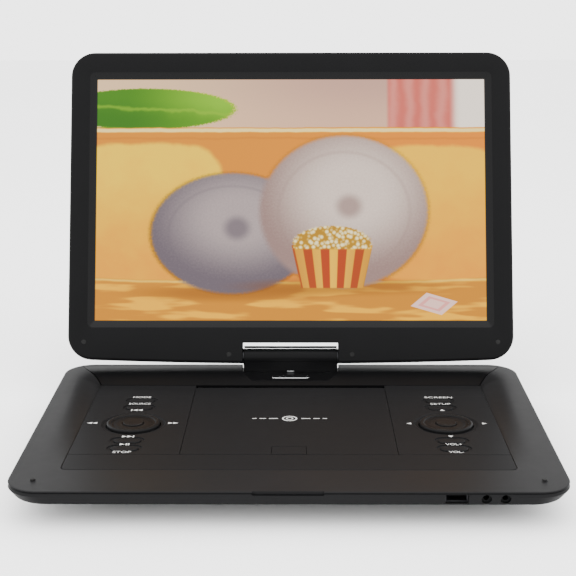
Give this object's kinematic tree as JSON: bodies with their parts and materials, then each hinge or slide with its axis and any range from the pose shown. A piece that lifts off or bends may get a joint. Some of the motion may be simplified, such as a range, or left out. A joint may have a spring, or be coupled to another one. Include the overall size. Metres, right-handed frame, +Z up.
{
  "type": "portable dvd player",
  "caption": "Portable disc player with a wide screen on a swivelling hinge, keypads beside a disc door and ports at the front edge.",
  "frame": {"origin": "under the middle of the player's box, on the table", "axes": "+X to the user's right along the hinge's tilt axis, +Y from the front edge towards the screen, +Z up"},
  "size_m": [0.342, 0.3188, 0.2559],
  "materials": {
    "black_shell": "satin moulded plastic",
    "deck_plastic": "satin dark grey plastic with faint fine lines",
    "piano_black": "high gloss black plastic",
    "bezel_plastic": "satin black plastic",
    "key_plastic": "satin black plastic",
    "screen": "lit colour screen",
    "white_plastic": "white diffuser",
    "chrome": "bright chrome",
    "steel": "plain sheet steel",
    "rubber": "matt black rubber",
    "silicone": "grey silicone",
    "board": "green circuit board",
    "battery": "blue shrink sleeve",
    "cone": "black speaker parts",
    "brass": "turned brass"
  },
  "bodies": {
    "base": {"base_lower_shell": "black_shell", "base_upper_shell": "black_shell", "rear_trim": "piano_black", "rear_ornament": "chrome", "left_keypad_panel": "deck_plastic", "right_keypad_panel": "deck_plastic", "front_strip": "deck_plastic", "disc_well": "black_shell", "loader_chassis": "steel", "loader_dampers": "rubber", "guide_rods": "steel", "spindle_motor": "steel", "sled_motor": "steel", "main_board": "board", "key_boards": "board", "battery_pack": "battery", "battery_cover": "black_shell", "speakers": "cone", "rubber_feet": "rubber", "case_screws": "steel", "rim_bumpers": "rubber", "dc_jack": "black_shell", "av_jack": "black_shell", "headphone_jack": "black_shell", "usb_socket": "steel", "swivel_bracket": "steel"},
    "swivel": {"swivel_shaft": "steel", "hinge_frame": "steel", "barrel_cover": "bezel_plastic", "retaining_ring": "steel"},
    "lid": {"lid_bezel": "bezel_plastic", "lid_back_cover": "black_shell", "lcd_panel": "screen", "backlight": "white_plastic", "lcd_brackets": "steel", "driver_board": "board", "hinge_arms": "steel", "chrome_strip": "chrome", "screw_plugs": "bezel_plastic"},
    "door": {"disc_door": "deck_plastic"},
    "latch_key": {"latch_button": "key_plastic"},
    "latch": {"latch_hook": "steel"},
    "hub": {"spindle_hub": "key_plastic"},
    "sled": {"pickup_sled": "key_plastic"},
    "screw": {"lead_screw": "brass"},
    "mode_key": {"mode_button": "key_plastic"},
    "source_key": {"source_button": "key_plastic"},
    "play_key": {"play_button": "key_plastic"},
    "stop_key": {"stop_button": "key_plastic"},
    "screen_key": {"screen_button": "key_plastic"},
    "setup_key": {"setup_button": "key_plastic"},
    "volume_up_key": {"volume_up_button": "key_plastic"},
    "volume_down_key": {"volume_down_button": "key_plastic"},
    "skip_rocker": {"skip_web": "silicone"},
    "skip_pad": {"skip_ring": "key_plastic"},
    "skip_centre_key": {"skip_centre_button": "key_plastic"},
    "menu_rocker": {"menu_web": "silicone"},
    "menu_pad": {"menu_ring": "key_plastic"},
    "menu_centre_key": {"menu_centre_button": "key_plastic"},
    "switch": {"power_switch": "key_plastic"}
  },
  "joints": [
    {"name": "swivel_turn", "type": "hinge", "parent": "base", "child": "swivel", "pos_m": [0, 0.0747, 0.0321], "axis": [0, 0, 1], "range_deg": [-180, 90]},
    {"name": "lid_tilt", "type": "hinge", "parent": "swivel", "child": "lid", "pos_m": [0, 0.0754, 0.0321], "axis": [1, 0, 0], "range_deg": [-25, 109.5]},
    {"name": "door_hinge", "type": "hinge", "parent": "base", "child": "door", "pos_m": [0, 0.03891, 0.01527], "axis": [1, 0, 0], "range_deg": [-50, 0]},
    {"name": "latch_press", "type": "slide", "parent": "base", "child": "latch_key", "axis": [0, -0.0288, -0.9996], "range_m": [0, 0.001], "stiffness_N_per_m": 700, "springref_m": -0.0003},
    {"name": "latch_slide", "type": "slide", "parent": "base", "child": "latch", "axis": [0, -0.9996, 0.0288], "range_m": [0, 0.001]},
    {"name": "hub_spin", "type": "hinge", "parent": "base", "child": "hub", "pos_m": [0, -0.02957, 0.01324], "axis": [0, 0.0288, 0.9996], "continuous": true},
    {"name": "sled_travel", "type": "slide", "parent": "base", "child": "sled", "axis": [1, 0, 0], "range_m": [0, 0.03]},
    {"name": "screw_turn", "type": "hinge", "parent": "base", "child": "screw", "pos_m": [0, -0.0057, 0.00855], "axis": [1, 0, 0], "range_deg": [0, 3600]},
    {"name": "mode_press", "type": "slide", "parent": "base", "child": "mode_key", "axis": [0, -0.0288, -0.9996], "range_m": [0, 0.0006], "stiffness_N_per_m": 600, "springref_m": -0.0002},
    {"name": "source_press", "type": "slide", "parent": "base", "child": "source_key", "axis": [0, -0.0288, -0.9996], "range_m": [0, 0.0006], "stiffness_N_per_m": 600, "springref_m": -0.0002},
    {"name": "play_press", "type": "slide", "parent": "base", "child": "play_key", "axis": [0, -0.0288, -0.9996], "range_m": [0, 0.0006], "stiffness_N_per_m": 600, "springref_m": -0.0002},
    {"name": "stop_press", "type": "slide", "parent": "base", "child": "stop_key", "axis": [0, -0.0288, -0.9996], "range_m": [0, 0.0006], "stiffness_N_per_m": 600, "springref_m": -0.0002},
    {"name": "screen_press", "type": "slide", "parent": "base", "child": "screen_key", "axis": [0, -0.0288, -0.9996], "range_m": [0, 0.0006], "stiffness_N_per_m": 600, "springref_m": -0.0002},
    {"name": "setup_press", "type": "slide", "parent": "base", "child": "setup_key", "axis": [0, -0.0288, -0.9996], "range_m": [0, 0.0006], "stiffness_N_per_m": 600, "springref_m": -0.0002},
    {"name": "volume_up_press", "type": "slide", "parent": "base", "child": "volume_up_key", "axis": [0, -0.0288, -0.9996], "range_m": [0, 0.0006], "stiffness_N_per_m": 600, "springref_m": -0.0002},
    {"name": "volume_down_press", "type": "slide", "parent": "base", "child": "volume_down_key", "axis": [0, -0.0288, -0.9996], "range_m": [0, 0.0006], "stiffness_N_per_m": 600, "springref_m": -0.0002},
    {"name": "skip_rock_front_back", "type": "hinge", "parent": "base", "child": "skip_rocker", "pos_m": [-0.1068, -0.04002, 0.01854], "axis": [1, 0, 0], "range_deg": [-2, 2], "stiffness_Nm_per_rad": 0.6},
    {"name": "skip_rock_left_right", "type": "hinge", "parent": "skip_rocker", "child": "skip_pad", "pos_m": [-0.1068, -0.04002, 0.01854], "axis": [0, 0.9996, -0.0288], "range_deg": [-2, 2], "stiffness_Nm_per_rad": 0.6},
    {"name": "skip_centre_press", "type": "slide", "parent": "base", "child": "skip_centre_key", "axis": [0, -0.0288, -0.9996], "range_m": [0, 0.0006], "stiffness_N_per_m": 600, "springref_m": -0.0002},
    {"name": "menu_rock_front_back", "type": "hinge", "parent": "base", "child": "menu_rocker", "pos_m": [0.1068, -0.04002, 0.01854], "axis": [1, 0, 0], "range_deg": [-2, 2], "stiffness_Nm_per_rad": 0.6},
    {"name": "menu_rock_left_right", "type": "hinge", "parent": "menu_rocker", "child": "menu_pad", "pos_m": [0.1068, -0.04002, 0.01854], "axis": [0, 0.9996, -0.0288], "range_deg": [-2, 2], "stiffness_Nm_per_rad": 0.6},
    {"name": "menu_centre_press", "type": "slide", "parent": "base", "child": "menu_centre_key", "axis": [0, -0.0288, -0.9996], "range_m": [0, 0.0006], "stiffness_N_per_m": 600, "springref_m": -0.0002},
    {"name": "power_slide", "type": "slide", "parent": "base", "child": "switch", "axis": [0, 1, 0], "range_m": [0, 0.004]}
  ],
  "couplings": [
    {"joint": "latch_slide", "follows": "latch_press", "ratio": 1},
    {"joint": "screw_turn", "follows": "sled_travel", "rad_per_m": 2094.3}
  ]
}
